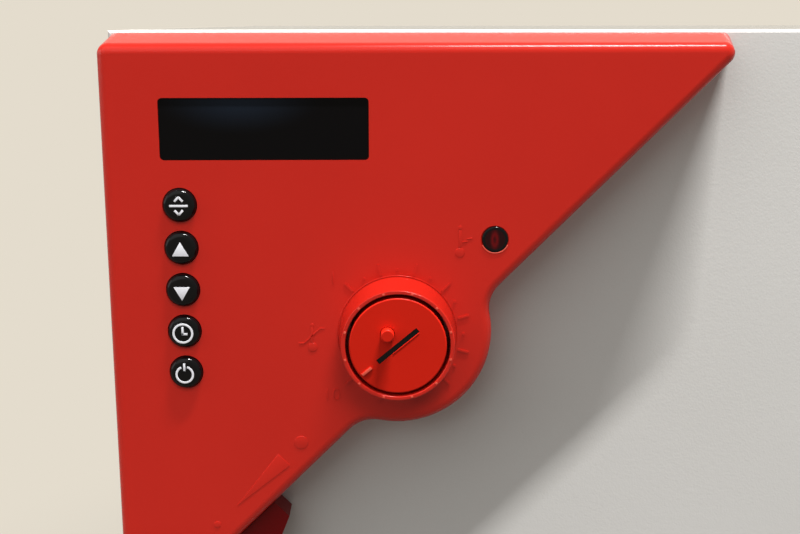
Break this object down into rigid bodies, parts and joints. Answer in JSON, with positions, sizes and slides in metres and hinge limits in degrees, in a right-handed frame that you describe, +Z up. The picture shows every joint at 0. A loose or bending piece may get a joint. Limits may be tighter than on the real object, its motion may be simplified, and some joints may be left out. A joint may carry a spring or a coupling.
{
  "type": "laboratory drying oven",
  "caption": "Bench drying oven: boxy cabinet, full-width door with a triangular control cover, dial, push buttons, lever handle, wire shelves, fan and rear exhaust duct.",
  "frame": {"origin": "bottom centre of the whole oven's bounding box, on the surface under the feet", "axes": "+Z up, -Y out of the door side, +X towards the hinges"},
  "size_m": [0.635, 0.675, 0.617],
  "materials": {
    "cover_plastic": "fine-textured red moulding",
    "dial_plastic": "smooth red moulding",
    "lever_plastic": "dark red moulding",
    "window_acrylic": "smoked gloss pane",
    "button_black": "gloss black",
    "lens_red": "clear dark red lens",
    "door_paint": "light grey fine-textured powder coat",
    "cabinet_paint": "light grey fine-textured powder coat",
    "stainless": "brushed stainless sheet",
    "chrome_wire": "bright wire",
    "zinc_steel": "zinc-plated steel",
    "silicone": "red-brown silicone",
    "mineral_wool": "mineral wool",
    "foot_rubber": "black rubber",
    "handle_black": "fine-textured black moulding",
    "brass_bush": "turned brass",
    "board_green": "solder-resist green",
    "module_grey": "dark grey moulding",
    "cast_aluminium": "cast aluminium"
  },
  "bodies": {
    "cabinet": {"air_baffle": "stainless", "base_plate": "zinc_steel", "chamber_insulation": "mineral_wool", "chamber_liner": "stainless", "cover_screws": "zinc_steel", "exhaust_duct": "stainless", "fan_motor": "cast_aluminium", "feet": "foot_rubber", "front_frame": "stainless", "heater_ring": "stainless", "housing_shell": "cabinet_paint", "latch_keeper": "zinc_steel", "left_shelf_rail": "stainless", "lower_hinge_housing_leaf": "zinc_steel", "lower_shelf": "chrome_wire", "power_inlet": "handle_black", "power_module": "cast_aluminium", "rear_cover": "cabinet_paint", "rear_partition": "zinc_steel", "right_shelf_rail": "stainless", "temperature_probe": "stainless", "upper_hinge_housing_leaf": "zinc_steel", "upper_shelf": "chrome_wire"},
    "door": {"door_outer_panel": "door_paint", "door_inner_panel": "stainless", "door_air_duct": "zinc_steel", "spindle_bushing": "brass_bush", "door_insulation": "mineral_wool", "door_gasket": "silicone", "upper_hinge_door_leaf": "zinc_steel", "lower_hinge_door_leaf": "zinc_steel", "upper_hinge_pin": "zinc_steel", "lower_hinge_pin": "zinc_steel", "handle_base": "handle_black", "panel_shell": "cover_plastic", "panel_screws": "zinc_steel", "display_window": "window_acrylic", "display_module": "module_grey", "control_board": "board_green", "indicator_lens": "lens_red", "lamp_holder": "module_grey", "limiter_unit": "module_grey"},
    "fan": {"fan_wheel": "zinc_steel", "fan_shaft": "zinc_steel"},
    "damper": {"damper_flap": "stainless", "damper_spindle": "zinc_steel"},
    "handle": {"handle_lever": "handle_black", "handle_spindle": "zinc_steel", "latch_cam": "zinc_steel"},
    "mode_key": {"button_mode": "button_black"},
    "up_key": {"button_up": "button_black"},
    "down_key": {"button_down": "button_black"},
    "clock_key": {"button_clock": "button_black"},
    "power_key": {"button_power": "button_black"},
    "dial": {"dial_disc": "dial_plastic", "dial_spindle": "zinc_steel"},
    "reset_key": {"reset_pin": "dial_plastic"},
    "air_flap": {"flap_lever": "lever_plastic", "inlet_shutter": "lever_plastic"}
  },
  "joints": [
    {"name": "door_swing", "type": "hinge", "parent": "cabinet", "child": "door", "pos_m": [0.3095, -0.2455, 0.3], "axis": [0, 0, 1], "range_deg": [0, 110]},
    {"name": "handle_turn", "type": "hinge", "parent": "door", "child": "handle", "pos_m": [-0.2715, -0.3, 0.29], "axis": [0, -1, 0], "range_deg": [0, 90]},
    {"name": "dial_turn", "type": "hinge", "parent": "door", "child": "dial", "pos_m": [-0.1894, -0.3125, 0.4842], "axis": [0, -1, 0], "range_deg": [0, 270]},
    {"name": "reset_press", "type": "slide", "parent": "dial", "child": "reset_key", "axis": [0, 1, 0], "range_m": [0, 0.002], "stiffness_N_per_m": 800, "springref_m": -0.001},
    {"name": "air_flap_slide", "type": "slide", "parent": "door", "child": "air_flap", "axis": [0.7071, 0, 0.7071], "range_m": [0, 0.052]},
    {"name": "fan_spin", "type": "hinge", "parent": "cabinet", "child": "fan", "pos_m": [0, 0.12, 0.308], "axis": [0, 1, 0], "continuous": true},
    {"name": "damper_turn", "type": "hinge", "parent": "cabinet", "child": "damper", "pos_m": [0.13, 0.3015, 0.446], "axis": [0, 0, 1], "range_deg": [0, 90]},
    {"name": "mode_press", "type": "slide", "parent": "door", "child": "mode_key", "axis": [0, 1, 0], "range_m": [0, 0.0015], "stiffness_N_per_m": 800, "springref_m": -0.001},
    {"name": "up_press", "type": "slide", "parent": "door", "child": "up_key", "axis": [0, 1, 0], "range_m": [0, 0.0015], "stiffness_N_per_m": 800, "springref_m": -0.001},
    {"name": "down_press", "type": "slide", "parent": "door", "child": "down_key", "axis": [0, 1, 0], "range_m": [0, 0.0015], "stiffness_N_per_m": 800, "springref_m": -0.001},
    {"name": "clock_press", "type": "slide", "parent": "door", "child": "clock_key", "axis": [0, 1, 0], "range_m": [0, 0.0015], "stiffness_N_per_m": 800, "springref_m": -0.001},
    {"name": "power_press", "type": "slide", "parent": "door", "child": "power_key", "axis": [0, 1, 0], "range_m": [0, 0.0015], "stiffness_N_per_m": 800, "springref_m": -0.001}
  ]
}
